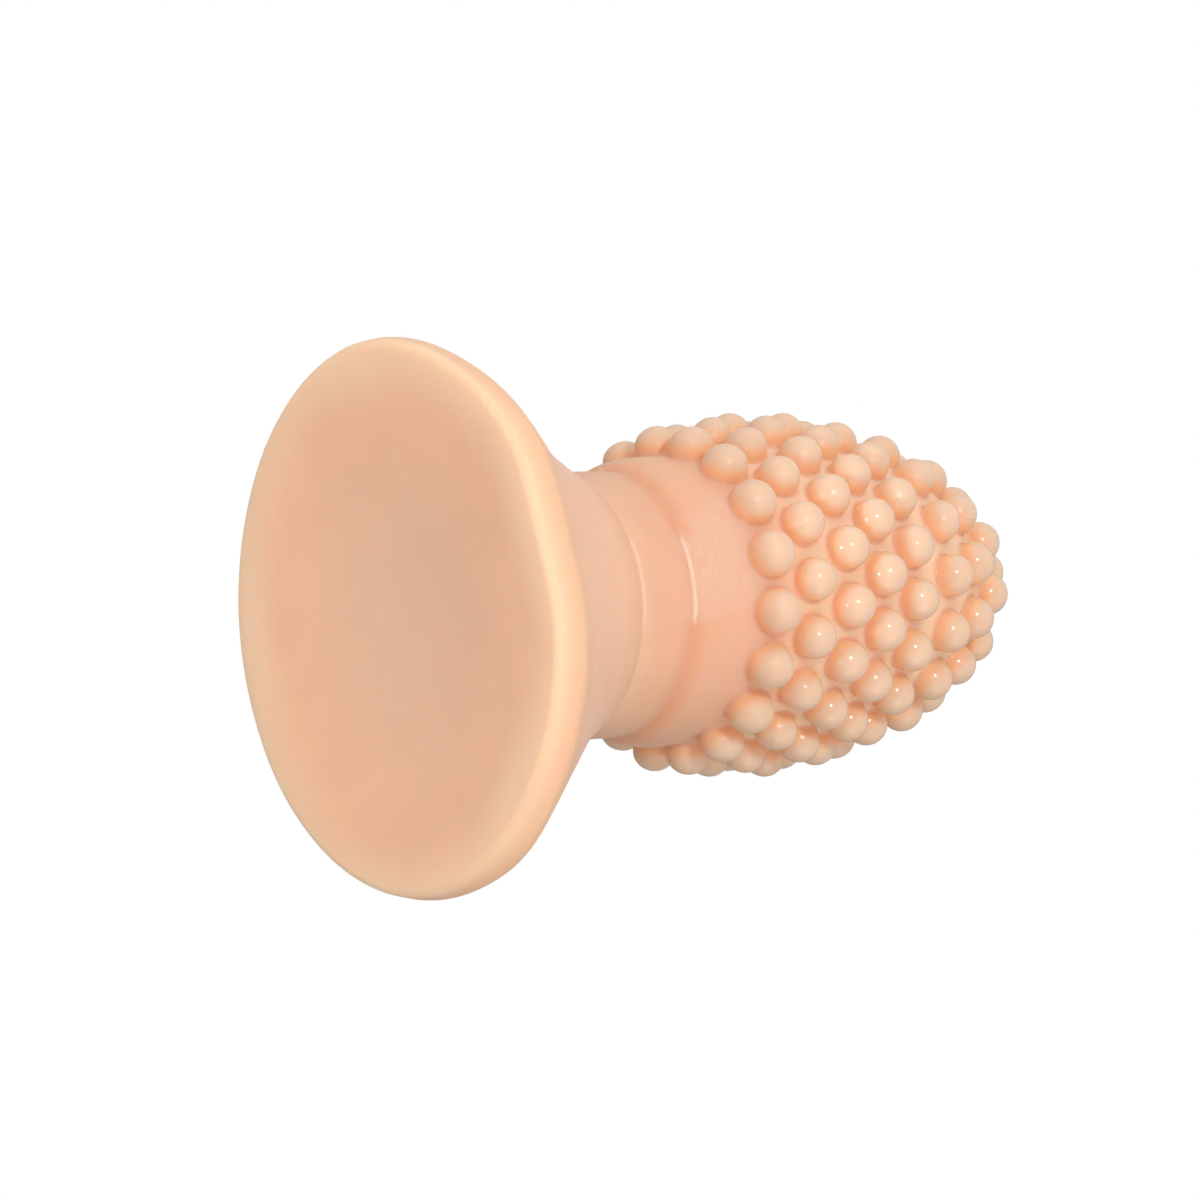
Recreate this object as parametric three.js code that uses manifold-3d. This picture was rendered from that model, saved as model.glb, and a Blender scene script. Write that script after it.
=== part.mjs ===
// A soft moulded plug: a flared foot with a dished face, a short stepped neck, and an egg-shaped
// head covered in round studs. Millimetres, +Z up, origin at the middle of the foot's rim.
//
// The real object is one moulding. It is divided here where its outline changes, and between its
// rings of studs. Neighbouring zones keep a small gap.
import * as THREE from "three";
import { mergeVertices } from "three/addons/utils/BufferGeometryUtils.js";
import Module from "manifold-3d";

const wasm = await Module();
wasm.setup();

// ---- Driving dimensions ----
const GAP = 0.3; // between neighbouring zones

const FOOT_RADIUS = 45; // the widest circle, a little above the face
const FOOT_WIDEST_Z = 4;
const FACE_RADIUS = 43.6; // outer edge of the flat rim that touches the table
const LAND_RADIUS = 38.5; // inner edge of the flat rim, where the dish begins
const DISH_DEPTH = 3.2;
const DISC_TOP_Z = 8;
const CONE_SLOPE = 0.875; // radius lost for each millimetre of height
const CONE_FOOT_RADIUS = 42.2; // where the cone leaves the disc
const CONE_TOP_Z = 26;

const NECK_RADIUS = 21.4;
const NECK_STEP = 0.4; // each step up in radius towards the head
const NECK_ROOT_TOP_Z = 33.6;
const HEAD_FOOT_Z = 43.8; // the step where the head begins

// The head's skin, as heights above its step.
const HEAD_FOOT_RADIUS = 22.3;
const HEAD_RADIUS = 26.7;
const HEAD_WIDEST = 22; // height of the skin's widest circle
const HEAD_HEIGHT = 77.2;
const SKIN = 3.4; // thickness of the wall that carries the studs

const STUD_RADIUS = 3.7;
const STUD_LIFT = 1; // height of a dome's centre above the skin

// Rings of studs: distance along the skin from the step, number of studs, and first stud's angle.
const RINGS = [
  { at: 14.3, count: 18, turn: 0 },
  { at: 22.0, count: 18, turn: 10 },
  { at: 30.0, count: 18, turn: 0 },
  { at: 37.8, count: 18, turn: 10 },
  { at: 46.0, count: 18, turn: 0 },
  { at: 56.5, count: 15, turn: 11.6 },
  { at: 65.3, count: 13, turn: 24.2 },
  { at: 73.8, count: 10, turn: 12.3 },
  { at: 81.2, count: 5, turn: 30.3 },
];
const HEAD_TURN = 13.7; // degrees from +X to the first ring's first stud
const BARE_SHOULDER = 10.1; // smooth skin between the step and the first ring's wall
const TIP_STUD_WALL = 4.8; // radius of the tip stud's own piece of skin, along the skin

const FOOT_SIDES = 40;
const HEAD_SIDES = 36;
const STUD_SIDES = 8;
const CURVE_STEP = 8; // spacing of points along the head's outline
const SLIVER = 0.05; // edges shorter than this are merged away

const FOOT_COLOUR = 0xf0c09a;
const NECK_COLOUR = 0xedb592;
const SKIN_COLOUR = 0xe9ae8b;
const STUD_COLOUR = 0xf2c39c;

// ---- Helpers ----
const material = (color) => new THREE.MeshStandardMaterial({ color, roughness: 0.45, metalness: 0 });

function lathe(points, sides) {
  const profile = points.map(([r, z]) => new THREE.Vector2(r, z));
  return new THREE.LatheGeometry(profile, sides).rotateX(Math.PI / 2);
}

function toSolid(geometry) {
  const bare = geometry.clone().deleteAttribute("normal").deleteAttribute("uv");
  const merged = mergeVertices(bare, 1e-4);
  return new wasm.Manifold(
    new wasm.Mesh({
      numProp: 3,
      vertProperties: merged.attributes.position.array,
      triVerts: new Uint32Array(merged.index.array),
    }),
  );
}

function toGeometry(solid) {
  const { vertProperties, triVerts } = solid.simplify(SLIVER).getMesh();
  return new THREE.BufferGeometry()
    .setAttribute("position", new THREE.BufferAttribute(vertProperties, 3))
    .setIndex(new THREE.BufferAttribute(triVerts, 1));
}

function named(name, geometry, color) {
  const mesh = new THREE.Mesh(geometry, material(color));
  mesh.name = name;
  return mesh;
}

// Points of an arc about (r, z), from one angle to another, in degrees.
function arc(r, z, radius, from, to, steps) {
  return Array.from({ length: steps + 1 }, (_, i) => {
    const angle = THREE.MathUtils.degToRad(from + ((to - from) * i) / steps);
    return [r + radius * Math.cos(angle), z + radius * Math.sin(angle)];
  });
}

// ---- Foot ----
function footDisc() {
  const dishSteps = 4;
  const dish = Array.from({ length: dishSteps + 1 }, (_, i) => {
    const share = i / dishSteps;
    return [LAND_RADIUS * share, DISH_DEPTH * (1 - share ** 2)];
  });
  const edgeRadius = 1.8;
  const edge = arc(FOOT_RADIUS - edgeRadius, FOOT_WIDEST_Z, edgeRadius, 0, 60, 3);
  return lathe(
    [
      ...dish,
      [FACE_RADIUS, 0],
      [FACE_RADIUS + 0.7, 0.6],
      ...edge,
      [CONE_FOOT_RADIUS, DISC_TOP_Z],
      [0, DISC_TOP_Z],
    ],
    FOOT_SIDES,
  );
}

const coneRadius = (z) => CONE_FOOT_RADIUS - CONE_SLOPE * (z - DISC_TOP_Z);

function footCone() {
  const bottom = DISC_TOP_Z + GAP;
  return lathe(
    [[0, bottom], [coneRadius(bottom), bottom], [coneRadius(CONE_TOP_Z), CONE_TOP_Z], [0, CONE_TOP_Z]],
    FOOT_SIDES,
  );
}

// ---- Neck ----
function neckRoot() {
  const bottom = CONE_TOP_Z + GAP;
  const sweep = new THREE.CubicBezierCurve(
    new THREE.Vector2(coneRadius(bottom), bottom),
    new THREE.Vector2(coneRadius(bottom + 3), bottom + 3),
    new THREE.Vector2(NECK_RADIUS + 0.2, NECK_ROOT_TOP_Z - 4),
    new THREE.Vector2(NECK_RADIUS, NECK_ROOT_TOP_Z),
  );
  const side = sweep.getPoints(5).map((p) => [p.x, p.y]);
  return lathe([[0, bottom], ...side, [0, NECK_ROOT_TOP_Z]], FOOT_SIDES);
}

function neckCollar() {
  const bottom = NECK_ROOT_TOP_Z + GAP;
  const top = HEAD_FOOT_Z - GAP;
  const radius = NECK_RADIUS + NECK_STEP;
  return lathe([[0, bottom], [radius, bottom], [radius + 0.1, top], [0, top]], FOOT_SIDES);
}

// ---- Head: heights are above the step ----
const at = (r, z) => new THREE.Vector2(r, z);
const shoulder = new THREE.CubicBezierCurve(
  at(HEAD_FOOT_RADIUS, 0),
  at(24.8, 5),
  at(HEAD_RADIUS, 12),
  at(HEAD_RADIUS, HEAD_WIDEST),
);
const dome = new THREE.CubicBezierCurve(
  at(HEAD_RADIUS, HEAD_WIDEST),
  at(HEAD_RADIUS, 39),
  at(22.2, HEAD_HEIGHT),
  at(0, HEAD_HEIGHT),
);
const outline = new THREE.CurvePath();
outline.add(shoulder);
outline.add(dome);
const OUTLINE_LENGTH = outline.getLength();

// The skin's point and outward normal at a distance along it, both as (radius, height).
function skinAt(distance) {
  const share = THREE.MathUtils.clamp(distance / OUTLINE_LENGTH, 0, 1);
  const tangent = outline.getTangent(share);
  return { point: outline.getPoint(share), normal: at(tangent.y, -tangent.x) };
}

// A stretch of the skin between two distances, moved along its normal by an offset.
function skinStretch(from, to, offset) {
  const steps = Math.max(1, Math.round((to - from) / CURVE_STEP));
  return Array.from({ length: steps + 1 }, (_, i) => {
    const { point, normal } = skinAt(from + ((to - from) * i) / steps);
    return [Math.max(0, point.x + offset * normal.x), point.y + offset * normal.y];
  });
}

function skinWall(from, to) {
  const outside = skinStretch(from, to, 0);
  const inside = skinStretch(from, to, -SKIN).reverse();
  return toSolid(lathe([...outside, ...inside, outside[0]], HEAD_SIDES));
}

// Where one ring's wall ends and the next begins: halfway between the rings.
const LAST_EDGE = OUTLINE_LENGTH - TIP_STUD_WALL;
const EDGES = [
  BARE_SHOULDER,
  ...RINGS.slice(1).map((ring, i) => (ring.at + RINGS[i].at) / 2),
  LAST_EDGE,
];

// A ball with its underside cut flat, where it is rooted in the skin.
function stud() {
  const side = arc(0, STUD_LIFT, STUD_RADIUS, -45, 90, 3).slice(0, -1);
  const [, rootZ] = side[0];
  return lathe([[0, rootZ], ...side, [0, STUD_LIFT + STUD_RADIUS]], STUD_SIDES);
}

// One stud, standing on the skin at a distance along it and an angle round it.
function placedStud(distance, degrees) {
  const { point, normal } = skinAt(distance);
  const round = new THREE.Matrix4().makeRotationZ(THREE.MathUtils.degToRad(degrees));
  const lean = new THREE.Matrix4().makeRotationY(Math.atan2(normal.x, normal.y));
  const place = new THREE.Matrix4().makeTranslation(point.x, 0, point.y);
  return toSolid(stud().applyMatrix4(round.multiply(place).multiply(lean)));
}

function studRing(index) {
  const { at: distance, count, turn } = RINGS[index];
  const wall = skinWall(EDGES[index] + GAP / 2, EDGES[index + 1] - GAP / 2);
  const studs = Array.from({ length: count }, (_, i) => placedStud(distance, turn + (360 * i) / count));
  return toGeometry(wasm.Manifold.union([wall, ...studs]));
}

function tipStud() {
  const edge = LAST_EDGE + GAP / 2;
  const under = skinStretch(edge, OUTLINE_LENGTH, -SKIN).reverse();
  const cap = toSolid(lathe([...under, ...skinStretch(edge, OUTLINE_LENGTH, 0)], HEAD_SIDES));
  return toGeometry(cap.add(placedStud(OUTLINE_LENGTH, 0)));
}

function headCore() {
  const shoulder = skinStretch(0, BARE_SHOULDER - GAP / 2, 0);
  const inside = skinStretch(BARE_SHOULDER - GAP / 2, OUTLINE_LENGTH, -SKIN - GAP);
  return lathe([[0, 0], ...shoulder, ...inside], HEAD_SIDES);
}

// ---- The object ----
const plug = new THREE.Group();

const foot = new THREE.Group();
foot.add(named("foot_disc", footDisc(), FOOT_COLOUR));
foot.add(named("foot_cone", footCone(), FOOT_COLOUR));

const neck = new THREE.Group();
neck.add(named("neck_root", neckRoot(), NECK_COLOUR));
neck.add(named("neck_collar", neckCollar(), NECK_COLOUR));

const head = new THREE.Group();
head.position.z = HEAD_FOOT_Z;
head.rotation.z = THREE.MathUtils.degToRad(HEAD_TURN);
head.add(named("head_core", headCore(), SKIN_COLOUR));
RINGS.forEach((_, i) => head.add(named(`stud_ring_${i + 1}`, studRing(i), STUD_COLOUR)));
head.add(named("tip_stud", tipStud(), STUD_COLOUR));

plug.add(foot, neck, head);
export default plug;
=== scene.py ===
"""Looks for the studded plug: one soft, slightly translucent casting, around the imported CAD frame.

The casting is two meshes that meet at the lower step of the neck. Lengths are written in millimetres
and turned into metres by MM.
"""

import math

import bmesh
import bpy
import numpy as np
from mathutils import Matrix, Vector, noise


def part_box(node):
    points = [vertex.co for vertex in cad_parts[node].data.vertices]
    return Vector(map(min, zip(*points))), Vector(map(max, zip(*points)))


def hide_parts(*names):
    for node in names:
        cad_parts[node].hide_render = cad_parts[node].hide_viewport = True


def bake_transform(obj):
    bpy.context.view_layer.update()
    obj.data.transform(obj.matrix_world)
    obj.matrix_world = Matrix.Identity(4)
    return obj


MM = 0.001

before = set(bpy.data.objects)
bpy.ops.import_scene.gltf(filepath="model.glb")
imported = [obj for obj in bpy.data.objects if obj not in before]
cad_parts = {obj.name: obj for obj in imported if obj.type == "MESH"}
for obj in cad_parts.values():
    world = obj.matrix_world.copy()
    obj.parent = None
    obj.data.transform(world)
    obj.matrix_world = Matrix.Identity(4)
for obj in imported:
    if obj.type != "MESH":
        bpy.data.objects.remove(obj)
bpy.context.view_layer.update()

# ---- Sizes read from the frame ----
FOOT_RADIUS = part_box("foot_disc")[1].x
LOWER_STEP = (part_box("neck_root")[1].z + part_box("neck_collar")[0].z) / 2
UPPER_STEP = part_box("head_core")[0].z
NECK_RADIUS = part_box("neck_collar")[1].x

# ---- Foot ----
DISH_DEPTH = 3.2 * MM
DISH_RADIUS = 41 * MM
FACE_EDGE_ROUND = 2.0 * MM
FACE_EDGE_CENTRE = FOOT_RADIUS - 2.4 * MM  # radius of the circle on which the edge's arc is centred
WIDEST = 3.7 * MM  # height of the foot's widest circle
BACK_EDGE_ROUND = 2.6 * MM
CONE_FOOT = 8 * MM  # height where the cone leaves the rounded rim
CONE = [(42 * MM, CONE_FOOT), (34.6 * MM, 16 * MM), (26.8 * MM, 24 * MM), (22.8 * MM, 32 * MM)]
# Soft lobes that make the casting a little out of round: angle and width in degrees, and size.
# The foot's also have the share of it that reaches the face.
FOOT_LOBES = [
    (-158, 20, -1.95 * MM, 0.6),
    (-108, 12, -2.1 * MM, 1.0),
    (-38, 16, 0.7 * MM, 0.1),
    (105, 40, 0.6 * MM, 1.0),
]
LOBES_END = (12 * MM, 30 * MM)  # heights between which they fade out up the cone
HEAD_LOBES = [(-8, 38, -1.9 * MM), (172, 38, -1.8 * MM)]
HEAD_LOBE_HEIGHT = 56 * MM
HEAD_LOBE_REACH = 9 * MM
HEAD_LEAN = -0.45 * MM  # along X, growing between two heights
LEAN_HEIGHTS = (55 * MM, 90 * MM)

# ---- Neck ----
LOWER_LEDGE = 0.3 * MM
CORNER = 0.02 * MM  # of the two meshes, where they meet at the lower step
LOWER_RISE = 3 * MM  # height over which each step rises where it is soft
UPPER_RISE = 4 * MM
CRISP_RISE = 0.3 * MM  # and where it is crisp
CRISP_MIDDLE = -101  # degrees; the steps are crisp around here
CRISP_HALF = 21
CRISP_SOFT_EDGE = (CRISP_HALF - 9, CRISP_HALF + 3)  # between which the crisp steps turn soft
LIP = 0.12 * MM  # fine raised edge of the upper step, and its width
LIP_WIDTH = 0.15 * MM
GROOVE = 0.3 * MM  # shallow valley below the head where the step is soft, and its width
GROOVE_WIDTH = 1.2 * MM
NUB = (178, 43.6 * MM, 0.7 * MM)  # one small nub on the upper step: angle, height, size

# ---- Head: radius and height above the upper step, as in the CAD source ----
HEAD_FOOT_RADIUS = 22.3 * MM
HEAD_RADIUS = 26.7 * MM
HEAD_WIDEST = 22 * MM
HEAD_HEIGHT = 77.2 * MM
SHOULDER = [(HEAD_FOOT_RADIUS, 0), (24.8 * MM, 5 * MM), (HEAD_RADIUS, 12 * MM), (HEAD_RADIUS, HEAD_WIDEST)]
DOME = [(HEAD_RADIUS, HEAD_WIDEST), (HEAD_RADIUS, 39 * MM), (22.2 * MM, HEAD_HEIGHT), (0, HEAD_HEIGHT)]

STUD_RADIUS = 3.62 * MM
FIRST_RING_STUD_RADIUS = 3.85 * MM
STUD_LIFT = 1.0 * MM  # of a stud's centre above the skin
STUD_SPREAD = 0.012  # share by which the studs' radii differ
HEAD_TURN = 13.7  # degrees, of all the rings together
# Rings of studs: distance along the skin from the upper step, number of studs, first stud's angle.
RINGS = [
    (14.3, 18, 0),
    (22.0, 18, 10),
    (30.0, 18, 0),
    (37.8, 18, 10),
    (46.0, 18, 0),
    (56.5, 15, 11.6),
    (65.3, 13, 24.2),
    (73.8, 10, 12.3),
    (81.2, 5, 30.3),
]
FILLET = 0.6 * MM  # where a stud meets the skin
LONGEST_STEP = 0.12 * MM  # of a point, in one round of settling
VOXEL = 0.55 * MM
JOIN_HEIGHT = 6.2 * MM  # above the upper step: turned rows below, remeshed studded skin above
AROUND = 360  # points in a turned row
SIDE_SPACING = 0.6 * MM  # between the rows of the cone and the neck
UNEVEN_SIZE = 14 * MM  # of the casting's gentle unevenness
UNEVEN_DEPTH = 0.12 * MM
SEED = 7  # of all that is drawn at random, so that every run gives the same casting


# ---- Geometry helpers ----
def bezier(points, steps):
    """Points along a cubic curve, its end left out."""
    p = np.array(points, float)
    t = np.linspace(0, 1, steps, endpoint=False)[:, None]
    return (1 - t) ** 3 * p[0] + 3 * (1 - t) ** 2 * t * p[1] + 3 * (1 - t) * t**2 * p[2] + t**3 * p[3]


def arc(r, z, radius, start, end, steps):
    """Points on an arc round (r, z), its ends given in degrees."""
    a = np.radians(np.linspace(start, end, steps))
    return np.column_stack([r + radius * np.cos(a), z + radius * np.sin(a)])


def smoothstep(x, low, high):
    """Rises smoothly from 0 at low to 1 at high."""
    t = np.clip((x - low) / (high - low), 0, 1)
    return t * t * (3 - 2 * t)


def turned(profile, around):
    """Vertices and faces of a profile turned round Z. A radius of zero becomes one pole."""
    angles = np.linspace(0, 2 * np.pi, around, endpoint=False)
    verts, rows = [], []
    for r, z in profile:
        if abs(r) < 1e-9:
            rows.append([len(verts)])
            verts.append((0, 0, z))
        else:
            rows.append(list(range(len(verts), len(verts) + around)))
            verts.extend((r * math.cos(a), r * math.sin(a), z) for a in angles)
    faces = []
    for low, high in zip(rows, rows[1:]):
        for i in range(around):
            j = (i + 1) % around
            if len(low) == 1:
                faces.append((low[0], high[j], high[i]))
            elif len(high) == 1:
                faces.append((low[i], low[j], high[0]))
            else:
                faces.append((low[i], low[j], high[j], high[i]))
    return verts, faces


def new_object(name, verts, faces):
    mesh = bpy.data.meshes.new(name)
    mesh.from_pydata([tuple(v) for v in verts], [], faces)
    mesh.update()
    obj = bpy.data.objects.new(name, mesh)
    bpy.context.scene.collection.objects.link(obj)
    return obj


def coordinates(mesh):
    co = np.empty(len(mesh.vertices) * 3, np.float32)
    mesh.vertices.foreach_get("co", co)
    return co.reshape(-1, 3).astype(float)


def set_coordinates(mesh, co):
    mesh.vertices.foreach_set("co", co.astype(np.float32).ravel())
    mesh.update()


def point_attribute(mesh, name, values):
    kind, field = ("FLOAT_VECTOR", "vector") if values.ndim == 2 else ("FLOAT", "value")
    attribute = mesh.attributes.new(name, kind, "POINT")
    attribute.data.foreach_set(field, values.astype(np.float32).ravel())


def around_axis(co):
    """Distance from the axis and angle in degrees."""
    return np.hypot(co[:, 0], co[:, 1]), np.degrees(np.arctan2(co[:, 1], co[:, 0]))


def turn_between(angle, middle):
    """How far an angle is from another, in degrees, the short way round."""
    return np.abs((angle - middle + 180) % 360 - 180)


def bell(x, width):
    return np.exp(-0.5 * (x / width) ** 2)


def lobe(angle, middle, width):
    return bell(turn_between(angle, middle), width)


def move_outward(co, amount):
    r, _ = around_axis(co)
    moved = co.copy()
    moved[:, :2] *= (1 + amount / np.maximum(r, 1 * MM))[:, None]
    return moved


# ---- The casting's outlines ----
def foot_profile():
    r = np.linspace(0, DISH_RADIUS, 70)
    dish = np.column_stack([r, DISH_DEPTH * (1 - (r / DISH_RADIUS) ** 2) ** 1.5])
    front = arc(FACE_EDGE_CENTRE, FACE_EDGE_ROUND, FACE_EDGE_ROUND, -90, -14, 10)
    back = arc(FOOT_RADIUS - BACK_EDGE_ROUND, WIDEST, BACK_EDGE_ROUND, -4, 48, 9)
    return dish, front, back, np.vstack([bezier(CONE, 12), CONE[-1:]])


def refine(points, spacing):
    """Evenly spaced points on a smooth curve through the given ones."""
    p = np.asarray(points, float)
    chord = np.r_[0, np.cumsum(np.hypot(*np.diff(p, axis=0).T))]
    steps = max(2, int(chord[-1] / spacing))
    t = np.linspace(0, chord[-1], steps + 1)
    slope = np.gradient(p, chord, axis=0)
    i = np.clip(np.searchsorted(chord, t, side="right") - 1, 0, len(p) - 2)
    h = (chord[i + 1] - chord[i])[:, None]
    u = ((t - chord[i]) / (chord[i + 1] - chord[i]))[:, None]
    h00, h10 = 2 * u**3 - 3 * u**2 + 1, u**3 - 2 * u**2 + u
    h01, h11 = -2 * u**3 + 3 * u**2, u**3 - u**2
    return h00 * p[i] + h10 * h * slope[i] + h01 * p[i + 1] + h11 * h * slope[i + 1]


def base_outline():
    dish, front, back, cone = foot_profile()
    root = NECK_RADIUS - LOWER_LEDGE
    side = refine(np.vstack([back[-1:], cone, [(root, LOWER_STEP - CORNER)]]), SIDE_SPACING)
    lid = [(r, LOWER_STEP) for r in np.linspace(root - CORNER, 0, 12)]
    return np.vstack([dish, front, back, side[1:], [(root, LOWER_STEP)], lid])


def foot_out_of_round(co):
    """The soft casting's foot isn't a true circle. The lobes fade out up the cone."""
    r, angle = around_axis(co)
    z = co[:, 2]
    inward = np.minimum(r / FACE_EDGE_CENTRE, 1) ** 3
    fade = np.where(z < CONE_FOOT, inward, 1 - smoothstep(z, *LOBES_END))
    behind = smoothstep(z, 0, WIDEST)
    amount = np.zeros(len(co))
    for middle, width, size, at_face in FOOT_LOBES:
        amount += size * lobe(angle, middle, width) * (at_face + (1 - at_face) * behind)
    return move_outward(co, fade * amount)


def head_out_of_round(co):
    """The head is a little narrow at its first rings, on two sides, and leans slightly."""
    _, angle = around_axis(co)
    z = co[:, 2]
    near = bell(z - HEAD_LOBE_HEIGHT, HEAD_LOBE_REACH) * smoothstep(z, UPPER_STEP, HEAD_LOBE_HEIGHT)
    amount = sum(size * lobe(angle, middle, width) for middle, width, size in HEAD_LOBES)
    moved = move_outward(co, near * amount)
    moved[:, 0] += HEAD_LEAN * smoothstep(z, *LEAN_HEIGHTS)
    return moved


def neck_steps(co):
    """Sharpens the neck's two soft steps at the front, and adds the lip, the groove and the nub."""
    r, angle = around_axis(co)
    z = co[:, 2]
    crisp = 1 - smoothstep(turn_between(angle, CRISP_MIDDLE), *CRISP_SOFT_EDGE)
    lower = smoothstep(z, LOWER_STEP, LOWER_STEP + CRISP_RISE) - lower_rise(z)
    upper = smoothstep(z, UPPER_STEP, UPPER_STEP + CRISP_RISE) - upper_rise(z)
    lip = bell(z - UPPER_STEP - CRISP_RISE, LIP_WIDTH)
    groove = bell(z - UPPER_STEP, GROOVE_WIDTH)
    relief = crisp * (LOWER_LEDGE * lower + (HEAD_FOOT_RADIUS - NECK_RADIUS) * upper + LIP * lip)
    relief -= (1 - crisp) * GROOVE * groove
    nub_angle, nub_height, nub_size = NUB
    across = np.radians(turn_between(angle, nub_angle)) * NECK_RADIUS
    relief += nub_size * np.exp(-(across**2 + (z - nub_height) ** 2) / nub_size**2)
    side = smoothstep(r, NECK_RADIUS - 1.5 * MM, NECK_RADIUS - 0.5 * MM)
    return move_outward(co, side * relief)


def lower_rise(z):
    return smoothstep(z, LOWER_STEP, LOWER_STEP + LOWER_RISE)


def upper_rise(z):
    return smoothstep(z, UPPER_STEP - UPPER_RISE / 2, UPPER_STEP + UPPER_RISE / 2)


JOIN_Z = UPPER_STEP + JOIN_HEIGHT
outline = np.vstack([bezier(SHOULDER, 400), bezier(DOME, 900), [(0, HEAD_HEIGHT)]])
outline_length = np.r_[0, np.cumsum(np.hypot(*np.diff(outline, axis=0).T))]


def skin_at(distance):
    """Point and outward normal of the head's skin, as (radius, height above the step)."""
    i = int(np.clip(np.searchsorted(outline_length, distance), 1, len(outline) - 2))
    along = outline[i + 1] - outline[i - 1]
    normal = np.array([along[1], -along[0]]) / np.hypot(*along)
    point = np.array([np.interp(distance, outline_length, outline[:, k]) for k in (0, 1)])
    return point, normal


def stud_places():
    """Centre, outward axis and radius of every stud."""
    places, axes, radii = [], [], []
    for number, (distance, count, turn) in enumerate(RINGS):
        radius = FIRST_RING_STUD_RADIUS if number == 0 else STUD_RADIUS
        point, normal = skin_at(distance * MM)
        r, h = point + STUD_LIFT * normal
        for i in range(count):
            a = math.radians(HEAD_TURN + turn + 360 * i / count)
            places.append((r * math.cos(a), r * math.sin(a), UPPER_STEP + h))
            axes.append((normal[0] * math.cos(a), normal[0] * math.sin(a), normal[1]))
            radii.append(radius)
    places.append((0, 0, UPPER_STEP + HEAD_HEIGHT + STUD_LIFT))
    axes.append((0, 0, 1))
    radii.append(STUD_RADIUS)
    return np.array(places), np.array(axes), np.array(radii)


centres, stud_axes, stud_radii = stud_places()
rng = np.random.default_rng(SEED)
stud_radii = stud_radii * rng.normal(1, STUD_SPREAD, len(centres))


# ---- Distance fields of the studded head ----
def nearest_on_outline(co):
    """Signed distance to the skin, positive outside, and the outward direction there."""
    r = np.hypot(co[:, 0], co[:, 1])
    h = co[:, 2] - UPPER_STEP
    line = outline[::3]
    index = np.zeros(len(co), int)
    for start in range(0, len(co), 20000):
        part = slice(start, start + 20000)
        d2 = (r[part, None] - line[:, 0]) ** 2 + (h[part, None] - line[:, 1]) ** 2
        index[part] = d2.argmin(1)
    a = np.clip(index - 1, 0, len(line) - 1)
    b = np.clip(index + 1, 0, len(line) - 1)
    along = line[b] - line[a]
    normal = np.column_stack([along[:, 1], -along[:, 0]]) / np.hypot(*along.T)[:, None]
    signed = (r - line[index, 0]) * normal[:, 0] + (h - line[index, 1]) * normal[:, 1]
    safe = np.maximum(r, 1e-9)
    across = co[:, :2] / safe[:, None] * normal[:, :1]
    return signed, np.column_stack([across, normal[:, 1]])


def nearest_stud(co):
    """Distance to the nearest stud, the direction away from its centre, and which stud it is."""
    best = np.full(len(co), np.inf)
    index = np.zeros(len(co), int)
    for i, (c, radius) in enumerate(zip(centres, stud_radii)):
        d = np.linalg.norm(co - c, axis=1) - radius
        closer = d < best
        best[closer] = d[closer]
        index[closer] = i
    away = co - centres[index]
    return best, away / np.maximum(np.linalg.norm(away, axis=1), 1e-9)[:, None], index


def settle(co, rounds=4):
    """Moves points onto the skin and studs, joined with a small fillet."""
    for _ in range(rounds):
        skin, skin_out = nearest_on_outline(co)
        stud, stud_out, _ = nearest_stud(co)
        share = np.clip(0.5 + 0.5 * (skin - stud) / FILLET, 0, 1)
        mixed = skin * (1 - share) + stud * share - FILLET * share * (1 - share)
        out = skin_out * (1 - share)[:, None] + stud_out * share[:, None]
        length2 = np.maximum((out**2).sum(1), 0.5)
        step = np.clip(mixed / length2, -LONGEST_STEP, LONGEST_STEP)
        co = co - step[:, None] * out
    return co


def studded_skin():
    """The studded part of the head as one closed, evenly meshed surface."""
    closed = np.vstack([[(0, -2 * MM)], [(HEAD_FOOT_RADIUS, -2 * MM)], outline[::12], [(0, HEAD_HEIGHT)]])
    verts, faces = turned(closed + (0, UPPER_STEP), 128)
    ball_verts, ball_faces = turned(arc(0, 0, 1, -90, 90, 15), 24)
    ball = np.array(ball_verts)
    verts = [np.array(verts)]
    for centre, radius in zip(centres, stud_radii):
        first = sum(len(v) for v in verts)
        verts.append(centre + radius * ball)
        faces.extend(tuple(first + i for i in face) for face in ball_faces)
    rough = new_object("rough_head", np.vstack(verts), faces)
    remesh = rough.modifiers.new("union", "REMESH")
    remesh.mode = "VOXEL"
    remesh.voxel_size = VOXEL
    graph = bpy.context.evaluated_depsgraph_get()
    fine = bpy.data.meshes.new_from_object(rough.evaluated_get(graph))
    bpy.data.objects.remove(rough)
    return fine


def evened(mesh, rounds):
    """Evens out the spacing of a mesh's points."""
    bm = bmesh.new()
    bm.from_mesh(mesh)
    for _ in range(rounds):
        bmesh.ops.smooth_vert(
            bm, verts=bm.verts, factor=0.5, use_axis_x=True, use_axis_y=True, use_axis_z=True
        )
    bm.to_mesh(mesh)
    bm.free()


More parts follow.
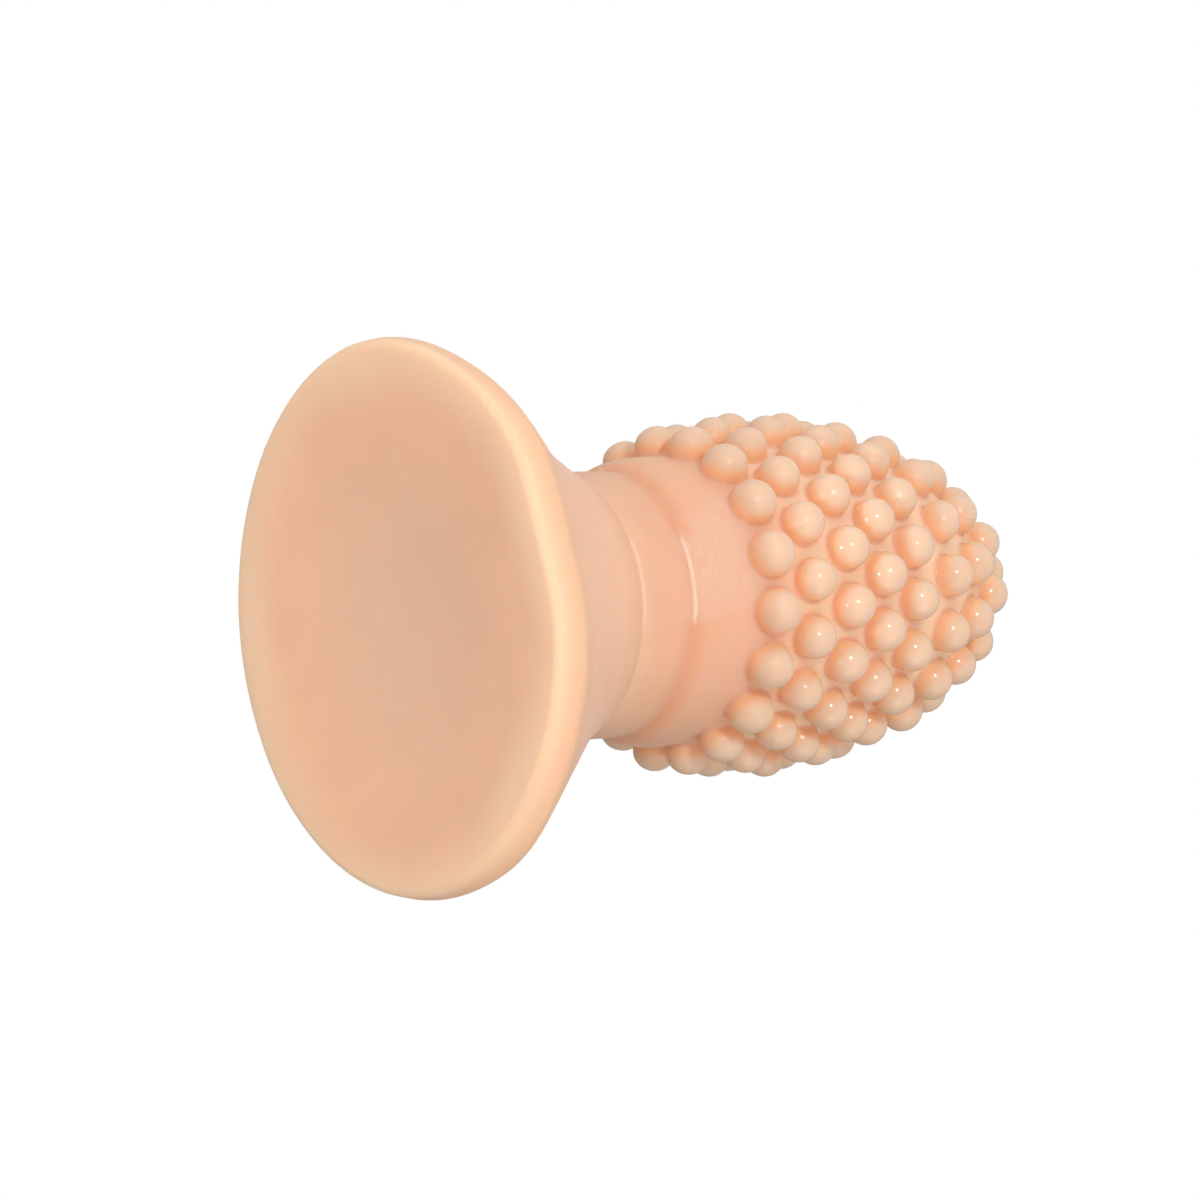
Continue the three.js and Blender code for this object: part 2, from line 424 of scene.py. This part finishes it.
def collar_and_skirt():
    """The neck's upper part and the bare skirt, with close rows at both steps."""
    bottom = [(r, LOWER_STEP) for r in np.linspace(0, NECK_RADIUS - LOWER_LEDGE - CORNER, 12)]
    rows = np.r_[
        LOWER_STEP,
        LOWER_STEP + CORNER,
        np.arange(0.1, 1.0, 0.1) * MM + LOWER_STEP,
        np.arange(LOWER_STEP + 1.4 * MM, UPPER_STEP - 1.2 * MM, SIDE_SPACING),
        np.arange(-0.8, 1.6, 0.1) * MM + UPPER_STEP,
        np.arange(2.0, 5.9, 0.4) * MM + UPPER_STEP,
    ]
    skirt = np.interp(rows - UPPER_STEP, outline[:, 1], outline[:, 0])
    radii = NECK_RADIUS - LOWER_LEDGE * (1 - lower_rise(rows))
    radii += (skirt - NECK_RADIUS) * upper_rise(rows)
    return np.vstack([bottom, np.column_stack([radii, rows])])


def head_mesh():
    """The studded skin, cut off below its first ring and joined to the turned neck and skirt."""
    mesh = studded_skin()
    set_coordinates(mesh, settle(coordinates(mesh)))
    evened(mesh, 2)
    set_coordinates(mesh, settle(coordinates(mesh)))
    bm = bmesh.new()
    bm.from_mesh(mesh)
    everything = bm.verts[:] + bm.edges[:] + bm.faces[:]
    bmesh.ops.bisect_plane(
        bm, geom=everything, dist=1e-6, plane_co=(0, 0, JOIN_Z), plane_no=(0, 0, -1), clear_outer=True
    )
    upper_rim = {e for e in bm.edges if e.is_boundary}
    verts, faces = turned(collar_and_skirt(), AROUND)
    new_verts = [bm.verts.new(v) for v in verts]
    for face in faces:
        bm.faces.new([new_verts[i] for i in face])
    lower_rim = [e for e in bm.edges if e.is_boundary and e not in upper_rim]
    bmesh.ops.bridge_loops(bm, edges=list(upper_rim) + lower_rim)
    bmesh.ops.recalc_face_normals(bm, faces=bm.faces)
    bm.to_mesh(mesh)
    bm.free()
    mesh.name = "head_moulding"
    return mesh


def uneven(co):
    """Moves points by smooth noise, because a soft casting is never quite even."""
    noise.seed_set(SEED)
    moved = [Vector(p) + UNEVEN_DEPTH * noise.noise_vector(Vector(p) / UNEVEN_SIZE) for p in co]
    return np.array(moved)


# ---- Pieces ----
base = new_object("base_moulding", *turned(base_outline(), AROUND))
head = bpy.data.objects.new("head_moulding", head_mesh())
bpy.context.scene.collection.objects.link(head)

# The foot's colouring: a dull tan middle, painted shade of the dish, and a pale cream and gold band at the
# rim that goes round to the back edge, painted glow of light through the thin rim.
DISH_SHADE_SOFT_EDGE = (10 * MM, 32 * MM)
BAND_INSIDE = 33 * MM
BAND_OUTSIDE = 43 * MM
BAND_TOP = 10.5 * MM
# The dry scuffed patch of the skirt: degrees round the axis, and its height.
SCUFF_MIDDLE = -108
SCUFF_HALF = 23
SCUFF_TOP = UPPER_STEP + 10.5 * MM
SCRATCH_SLANT = 0.22  # millimetres round for each millimetre of height
# The glossier studs: the heights between which they turn glossy, and degrees round the axis.
GLOSS_HEIGHTS = (UPPER_STEP + 12 * MM, UPPER_STEP + 24 * MM)
GLOSS_MIDDLE = -62
GLOSS_HALF = 45
# The skin's warmer colour between the studs, lightened as painted light against the shade there, and the
# glossy joins of the studs, with painted orange shade in them, start between these heights.
ROOT_HEIGHTS = (UPPER_STEP + 9 * MM, UPPER_STEP + 12 * MM)
BETWEEN_HEIGHTS = (UPPER_STEP + 11 * MM, UPPER_STEP + 20 * MM)
# Painted highlights along the edges of the two steps: height above the step, and width.
UPPER_EDGE_HIGHLIGHT = (0.15 * MM, 0.13 * MM)
LOWER_EDGE_HIGHLIGHT = (0.25 * MM, 0.14 * MM)
# Width of the painted shade in the groove below the head.
GROOVE_SHADE_WIDTH = 1.4 * MM
CLOUD_SIZE = 24 * MM  # of the slow and the quick wandering of the zones' borders
WOBBLE_SIZE = 5 * MM


def scuffed_patch(angle, z, wobble):
    """The dry patch: crisp along the upper step, ragged everywhere else."""
    off_middle = turn_between(angle, SCUFF_MIDDLE) + 6 * wobble
    patch = 1 - smoothstep(off_middle, SCUFF_HALF - 4, SCUFF_HALF + 3)
    patch *= smoothstep(z, UPPER_STEP, UPPER_STEP + CRISP_RISE)
    return patch * (1 - smoothstep(z + 3 * MM * wobble, SCUFF_TOP, SCUFF_TOP + 5 * MM))


def glossy_side(angle, z, drift):
    off_middle = turn_between(angle, GLOSS_MIDDLE) + 12 * drift
    return smoothstep(z, *GLOSS_HEIGHTS) * (1 - smoothstep(off_middle, GLOSS_HALF, GLOSS_HALF + 30))


# Painted highlights along the edges of the two steps, the lower one at half strength.
def painted_edge_highlights(z):
    upper_height, upper_width = UPPER_EDGE_HIGHLIGHT
    lower_height, lower_width = LOWER_EDGE_HIGHLIGHT
    upper = bell(z - UPPER_STEP - upper_height, upper_width)
    return upper + 0.5 * bell(z - LOWER_STEP - lower_height, lower_width)


def mark_zones(mesh):
    """Stores, at each point, its place at rest and the masks that the materials use."""
    co = coordinates(mesh)
    r, angle = around_axis(co)
    z = co[:, 2]
    stud, away, which = nearest_stud(co)
    skin, _ = nearest_on_outline(co)
    drift = np.array([noise.noise(Vector(p) / CLOUD_SIZE) for p in co])
    wobble = np.array([noise.noise(Vector(p) / WOBBLE_SIZE) for p in co])
    on_stud = smoothstep(-stud, -0.6 * MM, 0.05 * MM)
    crown = np.clip((away * stud_axes[which]).sum(1), 0, 1)
    join = smoothstep(-np.abs(skin - stud), -1.2 * MM, 0)
    on_face = 1 - smoothstep(z, 3 * MM, BAND_TOP)
    off_crisp = turn_between(angle, CRISP_MIDDLE) + 3 * wobble
    crisp = 1 - smoothstep(off_crisp, CRISP_HALF - 6, CRISP_HALF)
    # Several masks carry painted light and shade: the dish's middle, the rim band and wall, the skin
    # between the studs, the studs' roots and lower parts, the groove and the steps' edges.
    masks = {
        "stud": on_stud,
        "crown": on_stud * crown,
        "gloss": on_stud * glossy_side(angle, z, drift),
        "root": join * smoothstep(z, *ROOT_HEIGHTS),
        "between": (1 - on_stud) * smoothstep(z, *BETWEEN_HEIGHTS),
        "rim_glow_band": on_face * smoothstep(r + 4 * MM * drift, BAND_INSIDE, BAND_OUTSIDE),
        "rim_wall_glow": on_face * smoothstep(z, 0.8 * MM, 3 * MM) * smoothstep(r, BAND_INSIDE, BAND_OUTSIDE),
        "middle": on_face * (1 - smoothstep(r, *DISH_SHADE_SOFT_EDGE)),
        "cone": smoothstep(z, 6 * MM, BAND_TOP) * (1 - smoothstep(z, 26 * MM, LOWER_STEP)),
        "scuff": (1 - on_stud) * scuffed_patch(angle, z, wobble),
        "edge_highlight": 0.8 * crisp * painted_edge_highlights(z),
        "groove": (1 - crisp) * bell(z - UPPER_STEP, GROOVE_SHADE_WIDTH),
        "seam": smoothstep(np.abs(z - LOWER_STEP), 0.3 * MM, 4 * MM),
    }
    wrapped = np.column_stack([np.radians(angle) * NECK_RADIUS + SCRATCH_SLANT * z, z, r])
    point_attribute(mesh, "rest", co)
    point_attribute(mesh, "round", wrapped)
    for name, values in masks.items():
        point_attribute(mesh, name, values)


for piece in (base, head):
    mark_zones(piece.data)
    co = coordinates(piece.data)
    co = head_out_of_round(neck_steps(co)) if piece is head else foot_out_of_round(co)
    set_coordinates(piece.data, uneven(co))
    piece.data.shade_smooth()


# ---- Materials ----
class Nodes:
    """Short names for building a node tree."""

    def __init__(self, material):
        material.use_nodes = True
        self.tree = material.node_tree
        self.tree.nodes.clear()

    def add(self, kind, **inputs):
        node = self.tree.nodes.new(kind)
        for key, value in inputs.items():
            self.set(node.inputs[key.replace("_", " ")], value)
        return node

    def set(self, socket, value):
        if isinstance(value, bpy.types.NodeSocket):
            self.tree.links.new(value, socket)
        else:
            socket.default_value = value

    def place(self, name):
        node = self.add("ShaderNodeAttribute")
        node.attribute_name = name
        return node.outputs["Vector"]

    def mask(self, name):
        node = self.add("ShaderNodeAttribute")
        node.attribute_name = name
        return node.outputs["Fac"]

    def math(self, operation, a, b=0.0):
        node = self.add("ShaderNodeMath")
        node.operation = operation
        self.set(node.inputs[0], a)
        self.set(node.inputs[1], b)
        return node.outputs[0]

    def stretched(self, vector, scale):
        node = self.add("ShaderNodeVectorMath")
        node.operation = "MULTIPLY"
        self.set(node.inputs[0], vector)
        self.set(node.inputs[1], scale)
        return node.outputs[0]

    def dot(self, a, b):
        node = self.add("ShaderNodeVectorMath")
        node.operation = "DOT_PRODUCT"
        self.set(node.inputs[0], a)
        self.set(node.inputs[1], b)
        return node.outputs["Value"]

    def ramp(self, value, low, high, out_low=0.0, out_high=1.0):
        node = self.add("ShaderNodeMapRange")
        node.interpolation_type = "SMOOTHSTEP"
        self.set(node.inputs["Value"], value)
        self.set(node.inputs["From Min"], low)
        self.set(node.inputs["From Max"], high)
        self.set(node.inputs["To Min"], out_low)
        self.set(node.inputs["To Max"], out_high)
        return node.outputs[0]

    def mix(self, share, a, b):
        node = self.add("ShaderNodeMix")
        node.data_type = "RGBA"
        self.set(node.inputs["Factor"], share)
        self.set(node.inputs[6], a)
        self.set(node.inputs[7], b)
        return node.outputs[2]

    def noise(self, vector, scale, detail=3.0):
        return self.add("ShaderNodeTexNoise", Vector=vector, Scale=scale, Detail=detail).outputs["Fac"]

    def specks(self, vector, scale, size, share):
        """Small round dots, in a share of the cells of a grid."""
        node = self.add("ShaderNodeTexVoronoi", Vector=vector, Scale=scale)
        dot = self.ramp(node.outputs["Distance"], size * 0.5, size, 1, 0)
        cell = self.add("ShaderNodeSeparateColor", Color=node.outputs["Color"]).outputs[0]
        return self.math("MULTIPLY", dot, self.math("LESS_THAN", cell, share))

    def bump(self, height, distance, strength, normal=None):
        node = self.add("ShaderNodeBump", Height=height, Distance=distance, Strength=strength)
        if normal is not None:
            self.set(node.inputs["Normal"], normal)
        return node.outputs["Normal"]


def srgb(r, g, b):
    def linear(v):
        v /= 255
        return v / 12.92 if v <= 0.04045 else ((v + 0.055) / 1.055) ** 2.4

    return (linear(r), linear(g), linear(b), 1)


FLESH = srgb(236, 184, 151)
PINK = srgb(229, 179, 149)
# Tan: painted shade of the foot's dished middle.
DISH_SHADE_TAN = srgb(224, 182, 153)
# Cream and gold: painted glow of light through the foot's thin rim and its wall.
RIM_GLOW_CREAM = srgb(234, 197, 164)
RIM_WALL_GLOW_GOLD = srgb(234, 188, 152)
ROSE = srgb(238, 190, 162)
# Salmon: the skin's warmer tone between the studs, lightened as painted light against the shade there.
SALMON_LIFTED_BY_PAINTED_LIGHT = srgb(250, 205, 172)
# Amber: painted shade in the groove below the head.
PAINTED_GROOVE_SHADE = srgb(234, 170, 131)
# Orange: painted shade and bounce light at the studs' roots and limbs and in their joins.
SHADE_ORANGE = srgb(240, 190, 150)
PEACH = srgb(224, 193, 167)
CHALK = srgb(233, 194, 173)
# Painted highlight along the edges of the two steps.
PAINTED_EDGE_HIGHLIGHT = srgb(252, 226, 208)
SPECK = srgb(214, 158, 126)


def elastomer(name, roughness):
    """Soft, slightly translucent casting, coloured by the masks of each zone."""
    material = bpy.data.materials.new(name)
    n = Nodes(material)
    rest = n.place("rest")
    wrapped = n.place("round")

    # Colour: a cloudy flesh tone, then one zone after another.
    cloud = n.noise(rest, 45)
    mottle = n.noise(rest, 230, 4)
    colour = n.mix(n.ramp(cloud, 0.3, 0.7), FLESH, PINK)
    # The foot's dull tan middle is painted shade of the dish.
    colour = n.mix(n.mask("middle"), colour, n.mix(n.ramp(cloud, 0.4, 0.75, 0, 0.5), DISH_SHADE_TAN, PINK))
    colour = n.mix(n.mask("cone"), colour, ROSE)
    # The rim's cream band and gold wall are painted glow of light through the thin rim.
    colour = n.mix(n.mask("rim_glow_band"), colour, RIM_GLOW_CREAM)
    colour = n.mix(n.mask("rim_wall_glow"), colour, RIM_WALL_GLOW_GOLD)
    # The skin between the studs is lightened: its own warmer tone and painted light against the shade
    # there.
    colour = n.mix(n.mask("between"), colour, SALMON_LIFTED_BY_PAINTED_LIGHT)
    # Studs: orange at the roots and limb as painted shade, pale peach at the crown, partly painted light
    # through the small studs.
    stud_tone_and_shade = n.mix(n.ramp(n.mask("crown"), 0.0, 0.6), SHADE_ORANGE, PEACH)
    colour = n.mix(n.mask("stud"), colour, stud_tone_and_shade)
    # The orange in the studs' joins is painted shade and bounce light.
    colour = n.mix(n.math("MULTIPLY", n.mask("root"), 0.6), colour, SHADE_ORANGE)

    # The dry patch: fine pale scratches that run round the skirt.
    scratch = n.noise(n.stretched(wrapped, (600, 3000, 0)), 1, 4)
    scuff = n.mask("scuff")
    colour = n.mix(n.math("MULTIPLY", scuff, n.ramp(scratch, 0.35, 0.75, 0.2, 0.8)), colour, CHALK)
    # Pale lines along the steps' edges are painted highlights.
    colour = n.mix(n.mask("edge_highlight"), colour, PAINTED_EDGE_HIGHLIGHT)
    # Amber in the groove below the head is painted shade.
    colour = n.mix(n.math("MULTIPLY", n.mask("groove"), 0.7), colour, PAINTED_GROOVE_SHADE)

    # Fine mottling and a few specks.
    colour = n.mix(n.ramp(mottle, 0.55, 0.75, 0, 0.18), colour, PEACH)
    dots = n.specks(rest, 210, 0.055, 0.16)
    colour = n.mix(n.math("MULTIPLY", dots, 0.7), colour, SPECK)

    # Surface: fine grain everywhere, long faint flow lines, scratches on the dry patch.
    grain = n.noise(rest, 1900, 3)
    bare = n.math("SUBTRACT", 1.0, n.math("MULTIPLY", n.mask("stud"), 0.85))
    normal = n.bump(n.math("MULTIPLY", grain, bare), 0.06 * MM, 0.8)
    flow = n.noise(n.stretched(wrapped, (90, 900, 200)), 1, 3)
    normal = n.bump(flow, 0.05 * MM, 0.3, normal)
    normal = n.bump(n.math("MULTIPLY", scratch, scuff), 0.06 * MM, 0.5, normal)
    normal = n.bump(dots, 0.05 * MM, 0.5, normal)

    rough = n.ramp(n.noise(rest, 120, 3), 0.35, 0.65, roughness - 0.04, roughness + 0.05)
    rough = n.math("ADD", rough, n.math("MULTIPLY", scuff, 0.16))
    rough = n.math("SUBTRACT", rough, n.math("MULTIPLY", n.mask("stud"), 0.04))
    rough = n.math("SUBTRACT", rough, n.math("MULTIPLY", n.mask("gloss"), 0.2))
    rough = n.math("SUBTRACT", rough, n.math("MULTIPLY", n.mask("root"), 0.12))

    shader = n.add("ShaderNodeBsdfPrincipled", Base_Color=colour, Roughness=rough, Normal=normal, IOR=1.48)
    n.set(shader.inputs["Subsurface Weight"], n.mask("seam"))
    shader.inputs["Subsurface Radius"].default_value = (1.0, 0.5, 0.28)
    shader.inputs["Subsurface Scale"].default_value = 5 * MM
    n.add("ShaderNodeOutputMaterial", Surface=shader.outputs[0])
    return material


base.data.materials.append(elastomer("elastomer_matte", 0.52))
head.data.materials.append(elastomer("elastomer_satin", 0.42))

# ---- Bodies ----
STUD_NODES = [f"stud_ring_{i + 1}" for i in range(len(RINGS))]
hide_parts("foot_disc", "foot_cone", "neck_root")
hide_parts("neck_collar", "head_core", *STUD_NODES, "tip_stud")
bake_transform(base)
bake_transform(head)

# ---- Stage ----
NEAR_LIGHT = 0.69  # the studio's even light
FAR_LIGHT = 0.28  # and its dimmer light from one side
FAR_SIDE = (0.75, 0.66, 0)  # the direction of that side
world = bpy.data.worlds.new("studio")
bpy.context.scene.world = world
n = Nodes(world)
away = n.dot(n.add("ShaderNodeTexCoord").outputs["Generated"], FAR_SIDE)
dimmer = n.ramp(away, -0.4, 1.0, NEAR_LIGHT, FAR_LIGHT)
lit = n.add("ShaderNodeBackground", Color=(1, 1, 1, 1), Strength=dimmer)
seen = n.add("ShaderNodeBackground", Color=(1, 1, 1, 1), Strength=1.0)
pick = n.add("ShaderNodeMixShader")
n.set(pick.inputs[0], n.add("ShaderNodeLightPath").outputs["Is Camera Ray"])
n.set(pick.inputs[1], lit.outputs[0])
n.set(pick.inputs[2], seen.outputs[0])
n.add("ShaderNodeOutputWorld", Surface=pick.outputs[0])

OBJECT_MIDDLE = Vector((0, 0, 60 * MM))


def disc_light(name, direction, distance, size, power):
    data = bpy.data.lights.new(name, "AREA")
    data.shape = "DISK"
    data.size = size
    data.energy = power
    light = bpy.data.objects.new(name, data)
    bpy.context.scene.collection.objects.link(light)
    light.location = OBJECT_MIDDLE + distance * Vector(direction).normalized()
    light.rotation_mode = "QUATERNION"
    light.rotation_quaternion = Vector(direction).to_track_quat("Z", "Y")


disc_light("key", (-0.05, -0.26, -0.965), 0.9, 0.1, 2.6)
disc_light("front", (-0.32, -0.91, -0.25), 0.9, 0.1, 2.4)
disc_light("softbox", (-0.95, -0.3, 0.0), 0.8, 0.8, 1.1)
disc_light("fill", (0.75, -0.65, -0.1), 0.8, 0.8, 1.7)

floor_mesh = bpy.data.meshes.new("floor")
floor_mesh.from_pydata([(-3, -3, 0), (3, -3, 0), (3, 3, 0), (-3, 3, 0)], [], [(0, 1, 2, 3)])
floor = bpy.data.objects.new("floor", floor_mesh)
bpy.context.scene.collection.objects.link(floor)
floor.location.z = -0.05 * MM
paint = bpy.data.materials.new("floor_paint")
n = Nodes(paint)
pick = n.add("ShaderNodeMixShader")
n.set(pick.inputs[0], n.add("ShaderNodeNewGeometry").outputs["Backfacing"])
n.set(pick.inputs[1], n.add("ShaderNodeBsdfDiffuse", Color=(0.86, 0.86, 0.86, 1)).outputs[0])
n.set(pick.inputs[2], n.add("ShaderNodeBsdfTransparent").outputs[0])
n.add("ShaderNodeOutputMaterial", Surface=pick.outputs[0])
floor.data.materials.append(paint)
for kind in ("shadow", "diffuse", "glossy", "transmission", "volume_scatter"):
    setattr(floor, f"visible_{kind}", False)

# ---- Camera: low beside the foot, looking up along the object, rolled onto its side ----
FORWARD = Vector((0.0282, 0.7892, 0.6135)).normalized()
UP = Vector((-0.99895, 0, 0.0459)).normalized()
RIGHT = FORWARD.cross(UP).normalized()
UP = RIGHT.cross(FORWARD)
camera_data = bpy.data.cameras.new("camera")
camera_data.sensor_width = 36
camera_data.lens = 122.9
camera_data.clip_start = 0.01
camera = bpy.data.objects.new("camera", camera_data)
bpy.context.scene.collection.objects.link(camera)
rotation = Matrix((RIGHT, UP, -FORWARD)).transposed().to_4x4()
camera.matrix_world = Matrix.Translation(Vector((-19.7, -529.9, -369.9)) * MM) @ rotation
bpy.context.scene.camera = camera
bpy.context.scene.view_settings.view_transform = "Standard"
